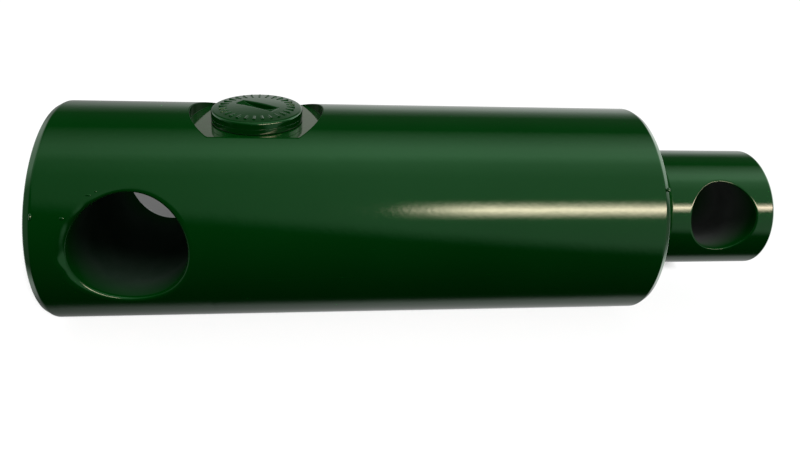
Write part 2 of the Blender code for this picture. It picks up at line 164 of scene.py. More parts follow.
def add_node(tree, kind, inputs=None, stops=None, **settings):
    """Adds a node with its settings, its inputs and the stops of its ramp."""
    made = tree.nodes.new(kind)
    for name, value in settings.items():
        setattr(made, name, value)
    set_inputs(made, inputs or {})
    for i, (place, colour) in enumerate(stops or []):
        elements = made.color_ramp.elements
        stop = elements[i] if i < 2 else elements.new(place)
        stop.position = place
        stop.color = colour
    return made


def new_material(name):
    """An empty node material, what adds its nodes, its Principled shader and its Object coordinates."""
    material = bpy.data.materials.new(name)
    material.use_nodes = True
    add = partial(add_node, material.node_tree)
    surface = material.node_tree.nodes["Principled BSDF"]
    place = add("ShaderNodeTexCoord").outputs["Object"]
    return material, add, surface, place


# Green gloss enamel over steel: a deep, wet-looking coat, slightly pebbled, with a little dust in it
ENAMEL_DEEP = "#013007"
ENAMEL_LIGHT = "#03370C"
ENAMEL_SHEEN = (0.42, 1.0, 0.53, 1.0)
ENAMEL_IOR = 1.5
# Copies of the enamel for the port's seat. The wall's low index leaves little reflection, partly a thin dull
# coat and partly painted shade. The floor's high index and neutral tint reflect more than enamel does, a
# painted reflection.
DULL_SHADED_WALL_IOR = 1.12
BRIGHT_FLOOR_IOR = 2.3
BRIGHT_FLOOR_SHEEN = (1.0, 1.0, 0.85, 1.0)
PEEL_SIZE = 0.0018
PEEL_HEIGHT = 0.000012
SAG_SIZE = 0.011
SAG_HEIGHT = 0.00003
DRIFT_SIZE = 0.035
DUST_SIZE = 0.0007


def enamel_coat(add, place):
    """The enamel's colour, roughness and surface normal."""
    drift = add("ShaderNodeTexNoise", {"Vector": place, "Scale": 1 / DRIFT_SIZE, "Detail": 3.0})
    colour = add(
        "ShaderNodeMix",
        {0: drift.outputs["Fac"], 6: linear(ENAMEL_DEEP), 7: linear(ENAMEL_LIGHT)},
        data_type="RGBA",
    ).outputs[2]
    dust = add("ShaderNodeTexNoise", {"Vector": place, "Scale": 1 / DUST_SIZE, "Detail": 2.0})
    roughness = add(
        "ShaderNodeMapRange",
        {"Value": dust.outputs["Fac"], "From Min": 0.35, "From Max": 0.8, "To Min": 0.06, "To Max": 0.13},
    ).outputs[0]
    peel = add("ShaderNodeTexNoise", {"Vector": place, "Scale": 1 / PEEL_SIZE, "Detail": 1.0})
    sag = add("ShaderNodeTexNoise", {"Vector": place, "Scale": 1 / SAG_SIZE, "Detail": 1.0})
    pebbled = add(
        "ShaderNodeBump", {"Height": peel.outputs["Fac"], "Strength": 1.0, "Distance": PEEL_HEIGHT}
    ).outputs[0]
    normal = add(
        "ShaderNodeBump",
        {"Height": sag.outputs["Fac"], "Strength": 1.0, "Distance": SAG_HEIGHT, "Normal": pebbled},
    ).outputs[0]
    return colour, roughness, normal


def green_enamel(name, ior=ENAMEL_IOR, sheen=ENAMEL_SHEEN):
    """The enamel with its index and reflection tint: a lower index reflects less and looks darker, a higher
    one reflects more and looks brighter.
    """
    material, add, surface, place = new_material(name)
    colour, roughness, normal = enamel_coat(add, place)
    set_inputs(surface, {"Base Color": colour, "Roughness": roughness, "Normal": normal})
    set_inputs(surface, {"IOR": ior, "Specular Tint": sheen})
    return material


# Hard chrome, ground round and polished: bright, with faint rings; enamel covers its outer end with a sharp
# edge, and the overspray behind that edge is as green but dull
CHROME_DEEP = "#A9ABAD"
CHROME_LIGHT = "#C6C8C9"
GRIND_WIDTH = 0.0004
GRIND_STRETCH = 0.05
PAINT_LINE_WAVER = 0.0008
PAINT_LINE_SOFTNESS = 0.0002
OVERSPRAY_ROUGHNESS = 0.6
ROD_PAINT_LINE = STAGE_FACE + 0.0004
ROD_GLOSS_LINE = MOUTH + 0.0095
STAGE_PAINT_LINE = STAGE_FACE - 0.003


def painted_chrome(name, paint_line, gloss_line):
    """Ground chrome that is oversprayed from one place along X outwards, and enamelled from another."""
    material, add, surface, place = new_material(name)
    coat, coat_roughness, normal = enamel_coat(add, place)
    drawn = GRIND_STRETCH / GRIND_WIDTH
    rings = add("ShaderNodeMapping", {"Vector": place, "Scale": (1 / GRIND_WIDTH, drawn, drawn)}).outputs[0]
    grind = add("ShaderNodeTexNoise", {"Vector": rings, "Scale": 1.0, "Detail": 2.0}).outputs["Fac"]
    steel = add(
        "ShaderNodeMix", {0: grind, 6: linear(CHROME_DEEP), 7: linear(CHROME_LIGHT)}, data_type="RGBA"
    ).outputs[2]
    steel_roughness = add("ShaderNodeMapRange", {"Value": grind, "To Min": 0.12, "To Max": 0.24}).outputs[0]
    along = add("ShaderNodeSeparateXYZ", {0: place}).outputs["X"]
    waver = add("ShaderNodeTexNoise", {"Vector": place, "Scale": 1 / SAG_SIZE}).outputs["Fac"]
    edge = add(
        "ShaderNodeMath", {0: waver, 1: PAINT_LINE_WAVER, 2: along}, operation="MULTIPLY_ADD"
    ).outputs[0]
    painted, glossed = (
        add(
            "ShaderNodeMapRange",
            {"Value": value, "From Min": line - PAINT_LINE_SOFTNESS, "From Max": line + PAINT_LINE_SOFTNESS},
        ).outputs[0]
        for value, line in ((edge, paint_line), (along, gloss_line))
    )
    coat_roughness = add("ShaderNodeMix", {0: glossed, 2: OVERSPRAY_ROUGHNESS, 3: coat_roughness}).outputs[0]
    colour = add("ShaderNodeMix", {0: painted, 6: steel, 7: coat}, data_type="RGBA").outputs[2]
    roughness = add("ShaderNodeMix", {0: painted, 2: steel_roughness, 3: coat_roughness}).outputs[0]
    coat_sheen = add(
        "ShaderNodeMix", {0: glossed, 6: (0.0, 0.0, 0.0, 1.0), 7: ENAMEL_SHEEN}, data_type="RGBA"
    ).outputs[2]
    sheen = add(
        "ShaderNodeMix", {0: painted, 6: (1.0, 1.0, 1.0, 1.0), 7: coat_sheen}, data_type="RGBA"
    ).outputs[2]
    bare = add("ShaderNodeMath", {0: 1.0, 1: painted}, operation="SUBTRACT").outputs[0]
    set_inputs(surface, {"Base Color": colour, "Roughness": roughness, "Normal": normal})
    set_inputs(surface, {"Specular Tint": sheen, "Metallic": bare})
    return material


# Bored steel, oversprayed: without gloss, green near the mouth and almost black within
OVERSPRAY_DEPTH = 0.014
OVERSPRAY_WAVER = 0.006


def sprayed_bore(name, mouth, deep, light):
    """A cross bore's wall: clouded from deep to light, with overspray at its mouth."""
    material, add, surface, place = new_material(name)
    coat, _, normal = enamel_coat(add, place)
    across = add("ShaderNodeSeparateXYZ", {0: place}).outputs["Y"]
    depth = add("ShaderNodeMath", {0: across}, operation="ABSOLUTE").outputs[0]
    cloud = add("ShaderNodeTexNoise", {"Vector": place, "Scale": 1 / SAG_SIZE, "Detail": 4.0}).outputs["Fac"]
    ragged = add(
        "ShaderNodeMath", {0: cloud, 1: OVERSPRAY_WAVER, 2: depth}, operation="MULTIPLY_ADD"
    ).outputs[0]
    cover = add(
        "ShaderNodeMapRange", {"Value": ragged, "From Min": mouth - OVERSPRAY_DEPTH, "From Max": mouth}
    ).outputs[0]
    steel = add("ShaderNodeMix", {0: cloud, 6: linear(deep), 7: linear(light)}, data_type="RGBA").outputs[2]
    colour = add("ShaderNodeMix", {0: cover, 6: steel, 7: coat}, data_type="RGBA").outputs[2]
    dulled = add("ShaderNodeMapRange", {"Value": cloud, "To Min": 0.5, "To Max": 0.8}).outputs[0]
    set_inputs(surface, {"Base Color": colour, "Roughness": dulled, "Normal": normal})
    set_inputs(surface, {"Specular IOR Level": 0.0})
    return material


LATHE_STRETCH = 0.04


def turned_metal(name, deep, light, roughness, line_width):
    """Metal from the lathe: fine rings about X that catch the light."""
    material, add, surface, place = new_material(name)
    drawn = LATHE_STRETCH / line_width
    rings = add("ShaderNodeMapping", {"Vector": place, "Scale": (1 / line_width, drawn, drawn)}).outputs[0]
    lines = add("ShaderNodeTexNoise", {"Vector": rings, "Scale": 1.0, "Detail": 3.0}).outputs["Fac"]
    colour = add("ShaderNodeMix", {0: lines, 6: linear(deep), 7: linear(light)}, data_type="RGBA").outputs[2]
    dulled = add(
        "ShaderNodeMapRange", {"Value": lines, "To Min": roughness * 0.7, "To Max": roughness * 1.4}
    ).outputs[0]
    grooved = add(
        "ShaderNodeBump", {"Height": lines, "Strength": 1.0, "Distance": line_width * 0.03}
    ).outputs[0]
    set_inputs(surface, {"Base Color": colour, "Roughness": dulled, "Normal": grooved})
    set_inputs(surface, {"Metallic": 1.0})
    return material


def moulded(name, deep, light, roughness, grain):
    """A moulded rubber or plastic: clouded colour and a fine grain from the mould."""
    material, add, surface, place = new_material(name)
    cloud = add("ShaderNodeTexNoise", {"Vector": place, "Scale": 1 / SAG_SIZE, "Detail": 4.0}).outputs["Fac"]
    colour = add("ShaderNodeMix", {0: cloud, 6: linear(deep), 7: linear(light)}, data_type="RGBA").outputs[2]
    pores = add("ShaderNodeTexNoise", {"Vector": place, "Scale": 1 / grain, "Detail": 2.0}).outputs["Fac"]
    worn = add(
        "ShaderNodeMapRange", {"Value": pores, "To Min": roughness * 0.8, "To Max": roughness * 1.25}
    ).outputs[0]
    grained = add("ShaderNodeBump", {"Height": pores, "Strength": 1.0, "Distance": grain * 0.05}).outputs[0]
    set_inputs(surface, {"Base Color": colour, "Roughness": worn, "Normal": grained})
    return material


class Skin:
    """Gathers grids of points, each with its finish, and welds them into one closed mesh."""

    def __init__(self):
        self.points = []
        self.faces = []
        self.finishes = []

    def add(self, grid, finish=0, closed=True):
        """A grid of rows and columns; a closed one joins its last column to its first."""
        rows, columns = grid.shape[:2]
        first = len(self.points)
        self.points.extend(grid.reshape(-1, 3).tolist())
        for row in range(rows - 1):
            for column in range(columns if closed else columns - 1):
                beside = (column + 1) % columns
                near = first + row * columns
                far = near + columns
                self.faces.append((near + column, near + beside, far + beside, far + column))
                self.finishes.append(finish)

    def piece(self, name, *materials, turn=0.0):
        """The finished object, turned about X in its mesh."""
        mesh = bpy.data.meshes.new(name)
        mesh.from_pydata(self.points, [], self.faces)
        for material in materials:
            mesh.materials.append(material)
        mesh.polygons.foreach_set("material_index", self.finishes)
        weld = bmesh.new()
        weld.from_mesh(mesh)
        bmesh.ops.remove_doubles(weld, verts=weld.verts, dist=WELD_DISTANCE)
        bmesh.ops.recalc_face_normals(weld, faces=weld.faces)
        weld.to_mesh(mesh)
        weld.free()
        mesh.transform(Matrix.Rotation(turn, 4, "X"))
        mesh.shade_smooth()
        piece = bpy.data.objects.new(name, mesh)
        scene.collection.objects.link(piece)
        shading = piece.modifiers.new("even_shading", "WEIGHTED_NORMAL")
        shading.weight = 100
        return piece


def on_wall(radius, along, angle):
    """Points about X: angle 0 is the top, and it grows towards the near side."""
    along, radius, angle = np.broadcast_arrays(along, radius, angle)
    return np.stack([along, -radius * np.sin(angle), radius * np.cos(angle)], axis=-1)


def quarter_angles(quarter):
    return np.linspace(quarter - 0.5, quarter + 0.5, QUARTER_STEPS + 1) * math.pi / 2


def round_angles():
    return np.concatenate([quarter_angles(quarter)[:-1] for quarter in range(4)])


def stations(*breaks):
    """Places along X that include each break, about one row step apart."""
    spans = zip(breaks[:-1], breaks[1:])
    runs = [np.linspace(low, high, max(2, round((high - low) / ROW_STEP) + 1)) for low, high in spans]
    return np.concatenate([runs[0]] + [run[1:] for run in runs[1:]])


def bent(start, corner, end, steps=CORNER_STEPS):
    """Points of a rounded corner, from start to end."""
    share = np.linspace(0, 1, steps + 1)[:, None]
    share = share.reshape(-1, *[1] * np.ndim(start))
    return (1 - share) ** 2 * start + 2 * share * (1 - share) * corner + share ** 2 * end


def eased(corners, ring=False):
    """Profile points (along, radius): each corner is rounded off by its own ease."""
    points = []
    for i, (along, radius, ease) in enumerate(corners):
        here = np.array((along, radius))
        if not ease:
            points.append(here)
            continue
        before = np.array(corners[i - 1][:2]) - here
        after = np.array(corners[(i + 1) % len(corners)][:2]) - here
        start = here + before / np.linalg.norm(before) * ease
        end = here + after / np.linalg.norm(after) * ease
        points.extend(bent(start, here, end))
    if ring:
        points.append(points[0])
    return np.array(points)


def turned(profile, angles):
    """A profile of (along, radius) points swept about X."""
    return on_wall(profile[:, 1, None], profile[:, 0, None], angles[None, :])


def turned_ring(corners):
    """A closed ring about X, from the corners of its section."""
    skin = Skin()
    skin.add(turned(eased(corners, ring=True), round_angles()))
    return skin


def worn_path(corners, samples):
    """A path through these corners, evenly sampled, with the corners worn round."""
    corners = np.array(corners)
    lengths = np.concatenate([[0], np.cumsum(np.linalg.norm(np.diff(corners, axis=0), axis=1))])
    places = np.linspace(0, lengths[-1], samples)
    path = np.stack([np.interp(places, lengths, corners[:, i]) for i in (0, 1)], axis=-1)
    for _ in range(WEAR_STEPS):
        path[1:-1] = (path[:-2] + 2 * path[1:-1] + path[2:]) / 4
    return path


class PinBore:
    """A cross bore along Y, met from one side of a round wall, with a rounded lip."""

    def __init__(self, quarter, wall, bore, centre, margin, ease, finish, nicks=()):
        self.quarter = quarter
        self.wall = wall
        self.bore = bore
        self.centre = centre
        self.low = centre - margin
        self.high = centre + margin
        self.ease = ease
        self.finish = finish
        self.nicks = nicks
        self.middle = quarter * math.pi / 2

    def turns(self, along, angle):
        return np.arctan2(self.wall * (angle - self.middle), along - self.centre)

    def ring(self, radius, turn):
        """Where a cylinder of this radius meets the wall: along and angle."""
        return self.centre + radius * np.cos(turn), self.middle + np.arcsin(radius * np.sin(turn) / self.wall)

    def rim(self, turn):
        """Radius of the lip's outer edge, widened where it is nicked and drawn in at a paint run."""
        radius = np.full_like(turn, self.bore + self.ease)
        for place, depth, width in self.nicks:
            away = np.angle(np.exp(1j * (turn - math.radians(place))))
            radius += depth * np.exp(-(away / math.radians(width)) ** 2)
        return radius

    def edge(self, along, angle):
        turn = self.turns(along, angle)
        return self.ring(self.rim(turn), turn)

    def sink(self, skin, along, angle):
        """The rounded lip, and the bore's wall as far as the middle of the piece."""
        turn = self.turns(along, angle)
        outer = on_wall(self.wall, *self.ring(self.rim(turn), turn))
        lip = on_wall(self.wall, *self.ring(self.rim(turn) - self.ease, turn))
        straight = on_wall(self.wall, *self.ring(self.bore, turn))
        inward = np.array((0.0, -np.sign(lip[0, 1]), 0.0)) * self.ease
        inner = straight + inward
        skin.add(bent(outer, lip, inner))
        middle = inner * (1.0, 0.0, 1.0)
        rows = np.linspace(0, 1, BORE_ROWS)[:, None, None]
        skin.add(inner + (middle - inner) * rows, self.finish)


class SunkPort:
    """The port on top: a sunk seat that runs out at the sides, its floor and its threaded hole.

    Heights are along the port's own axis. The barrel is round, so its wall is as high from there.
    """

    quarter = 0
    margin = 0.0275
    low = PORT_X - margin
    high = PORT_X + margin
    ease = 0.0004
    lip = 0.0008
    samples = 30

    def rim(self, turn):
        """Radius of the seat's rim, which is straight where the floor runs out of the wall."""
        reach = np.maximum(np.abs(np.sin(turn)), 0.01)
        run_out = math.sqrt(BARREL_RADIUS ** 2 - PORT_FLOOR ** 2) / reach
        return np.minimum(PORT_SEAT_RADIUS, run_out)

    def height(self, radius, turn):
        return np.sqrt(BARREL_RADIUS ** 2 - (radius * np.sin(turn)) ** 2)

    def turns(self, along, angle):
        return np.arctan2(BARREL_RADIUS * (angle - PORT_TURN), along - PORT_X)

    def edge(self, along, angle):
        turn = self.turns(along, angle)
        outer = self.rim(turn) + self.ease
        return PORT_X + outer * np.cos(turn), PORT_TURN + np.arcsin(outer * np.sin(turn) / BARREL_RADIUS)

    def seat_path(self, rim, turn):
        """One cut through the seat, from the wall over the rim and down to the floor."""
        outer = rim + self.ease
        corners = [
            (outer, self.height(outer, turn)),
            (rim, self.height(rim, turn)),
            (rim, PORT_FLOOR),
            (rim - self.ease, PORT_FLOOR),
        ]
        return worn_path(corners, self.samples)

    def sink(self, skin, along, angle):
        turn = self.turns(along, angle)
        rim = self.rim(turn)
        paths = np.array([self.seat_path(*cut) for cut in zip(rim, turn)])
        # The seat's rim and wall take the enamel with painted shade, its floor the enamel with a painted
        # reflection
        skin.add(upright(paths[:, :, 0].T, paths[:, :, 1].T, turn), 3)
        lip = self.lip
        hole = PORT_HOLE_RADIUS
        share = np.linspace(0, 1, FLOOR_ROWS)[:, None]
        floor = (rim - self.ease) * (1 - share) + (hole + lip) * share
        skin.add(upright(floor, np.full_like(floor, PORT_FLOOR), turn), 4)
        corners = [(hole + lip, PORT_FLOOR), (hole, PORT_FLOOR - lip)]
        top = PORT_FLOOR - 2 * lip
        for i in range(int((top - PORT_HOLE_FOOT) / THREAD_PITCH)):
            corners.append((hole, top - i * THREAD_PITCH))
            corners.append((hole + THREAD_HEIGHT, top - (i + 0.5) * THREAD_PITCH))
        corners += [(hole, PORT_HOLE_FOOT), (OIL_PASSAGE, PORT_HOLE_FOOT)]
        corners += [(OIL_PASSAGE, 0.0), (0.0, -OIL_PASSAGE)]
        corners = np.array(corners)
        skin.add(upright(corners[:, 0, None], corners[:, 1, None], turn), 1)


def upright(radius, height, turn):
    """Points about the port's axis, which leans to the near side."""
    radius, height, turn = np.broadcast_arrays(radius, height, turn)
    near = radius * np.sin(turn)
    along = PORT_X + radius * np.cos(turn)
    lean, rise = math.sin(PORT_TURN), math.cos(PORT_TURN)
    return np.stack([along, -near * rise - height * lean, height * rise - near * lean], axis=-1)


def holed_wall(skin, radius, along, openings):
    """A round wall in four quarters; a quarter with an opening is laid out round that opening."""
    by_quarter = {opening.quarter: opening for opening in openings}
    for quarter in range(4):
        angles = quarter_angles(quarter)
        opening = by_quarter.get(quarter)
        if opening is None:
            skin.add(on_wall(radius, along[:, None], angles[None, :]), closed=False)
            continue
        near = WELD_DISTANCE
        before = along[along < opening.low + near]
        across = along[(along > opening.low - near) & (along < opening.high + near)]
        after = along[along > opening.high - near]
        for run in (before, after):
            skin.add(on_wall(radius, run[:, None], angles[None, :]), closed=False)
        loop_along = np.concatenate([
            across[:-1],
            np.full(QUARTER_STEPS, across[-1]),
            across[:0:-1],
            np.full(QUARTER_STEPS, across[0]),
        ])
        loop_angle = np.concatenate([
            np.full(len(across) - 1, angles[0]),
            angles[:-1],
            np.full(len(across) - 1, angles[-1]),
            angles[:0:-1],
        ])
        edge_along, edge_angle = opening.edge(loop_along, loop_angle)
        share = 1 - (1 - np.linspace(0, 1, PATCH_LAYERS + 1)[:, None]) ** PATCH_CROWDING
        patch_along = loop_along + (edge_along - loop_along) * share
        patch_angle = loop_angle + (edge_angle - loop_angle) * share
        skin.add(on_wall(radius, patch_along, patch_angle))
        opening.sink(skin, loop_along, loop_angle)


# Where the lip of the base bore is nicked or has a run of paint: degrees round it, depth and width in degrees
BASE_NICKS = (
    (174, 0.0017, 42),
    (178, 0.0005, 7),
    (166, -0.0005, 6),
    (-152, 0.0004, 8),
    (-130, 0.0003, 7),
)


def painted_barrel():
    """Base and tube as one painted skin: the weld between them is ground flush."""
    skin = Skin()
    openings = [SunkPort()] + [
        PinBore(quarter, BARREL_RADIUS, BASE_PIN_BORE, 0.0, BASE_PIN_MARGIN, BASE_PIN_LIP, 2, BASE_NICKS)
        for quarter in (1, 3)
    ]
    low = BASE_FACE + BASE_RIM[0] + BARREL_RIM_STRIP
    high = MOUTH - MOUTH_RIM[0] - BARREL_RIM_STRIP
    breaks = sorted({low, high} | {place for opening in openings for place in (opening.low, opening.high)})
    holed_wall(skin, BARREL_RADIUS, stations(*breaks), openings)
    angles = round_angles()
    base_end = eased([
        (low, BARREL_RADIUS, 0),
        (BASE_FACE + BASE_RIM[0], BARREL_RADIUS, 0.0006),
        (BASE_FACE, BARREL_RADIUS - BASE_RIM[1], 0.0006),
        (BASE_FACE, BARREL_RADIUS * FACE_RING, 0),
        (BASE_FACE, 0, 0),
    ])
    skin.add(turned(base_end, angles))
    thread_foot = MOUTH - GLAND_THREAD_LENGTH
    mouth_end = eased([
        (high, BARREL_RADIUS, 0),
        (MOUTH - MOUTH_RIM[0], BARREL_RADIUS, 0.0004),
        (MOUTH, BARREL_RADIUS - MOUTH_RIM[1], 0.0003),
        (MOUTH, BARREL_COUNTERBORE, 0.0003),
        (MOUTH - BARREL_RIM_STRIP, BARREL_COUNTERBORE, 0),
    ])
    skin.add(turned(mouth_end, angles))
    inside = np.array([
        (MOUTH - BARREL_RIM_STRIP, BARREL_COUNTERBORE),
        (thread_foot, BARREL_COUNTERBORE),
        (thread_foot, BARREL_BORE),
        (BORE_BOTTOM, BARREL_BORE),
        (BORE_BOTTOM, 0),
    ])
    skin.add(turned(inside, angles), 1)
    return skin


# Dried drops on the barrel: place along X, degrees round from the top, half length, half width and height
PAINT_DROPS = (
    (-0.0294, 72.0, 0.0005, 0.0012, 0.0004),
    (-0.0198, 72.8, 0.0008, 0.0005, 0.0002),
    (-0.0120, 62.0, 0.0010, 0.0004, 0.0002),
    (-0.0098, 60.3, 0.0005, 0.0003, 0.0002),
    (0.1864, 59.3, 0.0007, 0.0008, 0.0005),
)
DROP_STEPS = 16


def paint_drops():
    """Drops of paint: flattened balls, half sunk in the wall."""
    skin = Skin()
    down = np.linspace(0, math.pi, DROP_STEPS // 2 + 1)[:, None]
    round_it = np.linspace(0, 2 * math.pi, DROP_STEPS + 1)[None, :-1]
    for along, degrees, length, width, height in PAINT_DROPS:
        across = width * np.sin(down) * np.sin(round_it)
        skin.add(on_wall(
            BARREL_RADIUS + height * np.cos(down),
            along + length * np.sin(down) * np.cos(round_it),
            math.radians(degrees) + across / BARREL_RADIUS,
        ))
    return skin


def painted_rod():
    """Rod with its pin bore and the groove for its guides."""
    skin = Skin()
    openings = [
        PinBore(quarter, ROD_RADIUS, ROD_PIN_BORE, ROD_PIN_X, ROD_PIN_MARGIN, ROD_PIN_LIP, finish=1)
        for quarter in (1, 3)
    ]
    groove_foot = ROD_FOOT + FOOT_LIP
    groove_end = groove_foot + GUIDE_GROOVE
    high = ROD_FACE - ROD_RIM[0] - ROD_RIM_STRIP
    holed_wall(skin, ROD_RADIUS, stations(groove_end, openings[0].low, openings[0].high, high), openings)
    angles = round_angles()
    face_end = eased([
        (high, ROD_RADIUS, 0),
        (ROD_FACE - ROD_RIM[0], ROD_RADIUS, 0.0005),
        (ROD_FACE, ROD_RADIUS - ROD_RIM[1], 0.0004),
        (ROD_FACE, ROD_RADIUS * FACE_RING, 0),
        (ROD_FACE, 0, 0),
    ])
    skin.add(turned(face_end, angles))
    foot_end = np.array([
        (groove_end, ROD_RADIUS),
        (groove_end, ROD_RADIUS - GUIDE_DEPTH),
        (groove_foot, ROD_RADIUS - GUIDE_DEPTH),
        (groove_foot, ROD_RADIUS),
        (ROD_FOOT + EDGE_BREAK, ROD_RADIUS),
        (ROD_FOOT, ROD_RADIUS - EDGE_BREAK),
        (ROD_FOOT, 0),
    ])
    skin.add(turned(foot_end, angles))
    return skin


def head_bore(face, slide, foot):
    """Corners of a head's inner wall, from foot to face: guide groove, seal groove and wiper pocket."""
    land = slide + LAND_GAP
    corners = [(face, slide + POCKET[1], SEAT_GAP), (face - POCKET[0], slide + POCKET[1], 0)]
    high = face - POCKET[0]
    for length, floor in (SEAL_GROOVE, BAND_GROOVE):
        corners.append((high, land, 0))
        high -= LAND
        corners += [(high, land, 0), (high, slide + floor, 0), (high - length, slide + floor, 0)]
        high -= length
    corners += [(high, land, 0), (foot, land, 0)]
    return corners[::-1]


SPANNER_NOTCH_DEPTH = 0.003
SPANNER_NOTCH_WIDTH = 0.006
NOTCH_WALL = 0.0004
NOTCH_BREAK = 0.0035
O_RING_GROOVE = (0.003, 0.0027)


def notched_gland():
    """Gland ring with its thread, its ring groove and four spanner notches in its face."""
    body = BARREL_BORE - SEAT_GAP
    shoulder = MOUTH - GLAND_THREAD_LENGTH + SEAT_GAP
    groove_low = GLAND_FOOT + LAND
    groove_high = groove_low + O_RING_GROOVE[0]
    groove_floor = body - O_RING_GROOVE[1]
    corners = head_bore(MOUTH, STAGE_RADIUS, GLAND_FOOT) + [
        (MOUTH, GLAND_THREAD_RADIUS, 0.0005),
        (MOUTH - NOTCH_BREAK, GLAND_THREAD_RADIUS, 0),
        (shoulder, GLAND_THREAD_RADIUS, 0),
        (shoulder, body, 0),
        (groove_high, body, 0),
        (groove_high, groove_floor, 0),
        (groove_low, groove_floor, 0),
        (groove_low, body, 0),
        (GLAND_FOOT, body, 0),
    ]
    half = SPANNER_NOTCH_WIDTH / 2 / GLAND_THREAD_RADIUS
    sides = [quarter * math.pi / 2 + way * half for quarter in range(4) for way in (-1, 1)]
    walls = [[side - NOTCH_WALL, side + NOTCH_WALL] for side in sides]
    angles = np.sort(np.concatenate([round_angles()] + walls))
    grid = turned(eased(corners, ring=True), angles)
    from_middle = np.abs((angles + math.pi / 4) % (math.pi / 2) - math.pi / 4)
    floor = np.where(from_middle < half, MOUTH - SPANNER_NOTCH_DEPTH, MOUTH)
    grid[..., 0] = np.minimum(grid[..., 0], floor)
    skin = Skin()
    skin.add(grid)
    return skin


STAGE_BAND = 0.004


def chromed_stage():
    """Hollow middle stage: grooved foot, ground outside, and a head for the rod's seals."""
    guide_low = STAGE_FOOT + 2 * FOOT_LIP + SNAP_GROOVE
    guide_high = guide_low + GUIDE_GROOVE
    snap_low = STAGE_FOOT + FOOT_LIP
    corners = [
        (STAGE_FOOT, STAGE_BORE, 0.0004),
        (snap_low, STAGE_BORE, 0),
        (snap_low, STAGE_BORE + SNAP_DEPTH, 0),
        (snap_low + SNAP_GROOVE, STAGE_BORE + SNAP_DEPTH, 0),
        (snap_low + SNAP_GROOVE, STAGE_BORE, 0),
        (STAGE_SHOULDER, STAGE_BORE, 0),
    ]
    corners += head_bore(STAGE_FACE, ROD_RADIUS, STAGE_SHOULDER)
    corners += [
        (STAGE_FACE, STAGE_RADIUS - EDGE_BREAK, 0.0003),
        (STAGE_FACE - EDGE_BREAK, STAGE_RADIUS, 0.0003),
        (STAGE_FACE - STAGE_BAND, STAGE_RADIUS, 0),
        (guide_high, STAGE_RADIUS, 0),
        (guide_high, STAGE_RADIUS - GUIDE_DEPTH, 0),
        (guide_low, STAGE_RADIUS - GUIDE_DEPTH, 0),
        (guide_low, STAGE_RADIUS, 0),
        (STAGE_FOOT + EDGE_BREAK, STAGE_RADIUS, 0.0003),
        (STAGE_FOOT, STAGE_RADIUS - EDGE_BREAK, 0.0003),
    ]
    return turned_ring(corners)


WIPER_LIP = 0.0009
WIPER_STANDOUT = 0.0008
WIPER_SHOULDER = 0.0022
WIPER_RELIEF = 0.0005


def rubber_wiper(face, slide):
    """Scraper in a head's open pocket: its lip leans outwards, past the face."""
    lip = slide + SEAT_GAP
    outer = slide + POCKET[1] - SEAT_GAP
    low = face - POCKET[0] + SEAT_GAP
    shoulder = face - WIPER_SHOULDER
    corners = [
        (face + WIPER_STANDOUT, lip, 0.0002),
        (face + WIPER_STANDOUT, lip + WIPER_LIP, 0.0003),
        (shoulder, outer, 0.0006),
        (low, outer, 0.0003),
        (low, lip + WIPER_RELIEF, 0.0003),
        (shoulder, lip + WIPER_RELIEF, 0.0004),
    ]
    return turned_ring(corners)


WASHER_SQUEEZE = 0.8 * SEAT_GAP


def sealing_washer():
    """Washer squeezed between the seat and the head, painted over with them."""
    low = WASHER_LOW - WASHER_SQUEEZE
    high = WASHER_HIGH + WASHER_SQUEEZE
    corners = [
        (low, PORT_HOLE_RADIUS, 0.0003),
        (high, PORT_HOLE_RADIUS, 0.0003),
        (high, WASHER_RADIUS, 0.0001),
        (low, WASHER_RADIUS, 0.0005),
    ]
    profile = eased(corners, ring=True)
    skin = Skin()
    skin.add(upright(profile[:, 1, None], profile[:, 0, None], round_angles()[None, :]))
    return skin


SLOT_MARGIN = 0.0012
SLOT_ROWS = 61
SLOT_SAMPLES = 45
SHANK_CORE = 0.0124


def crown(radius):
    """How far the crowned top lies below its nominal height at this radius."""
    return HEAD_CROWN * (radius / (PLUG_RADIUS - HEAD_ROUND)) ** 2 - HEAD_RISE


def slot_cut(along):
    """One cut across the coin slot: places across and heights, with worn corners."""
    sawn = math.sqrt(SLOT_DISC_RADIUS ** 2 - along ** 2) - (SLOT_DISC_RADIUS - SLOT_DEPTH)
    depth = max(0.0, sawn)
    reach = SLOT_HALF_WIDTH + SLOT_MARGIN
    side = SLOT_HALF_WIDTH
    corners = [(-reach, 0), (-side, 0), (-side, -depth), (side, -depth), (side, 0), (reach, 0)]
    return worn_path(corners, SLOT_SAMPLES)


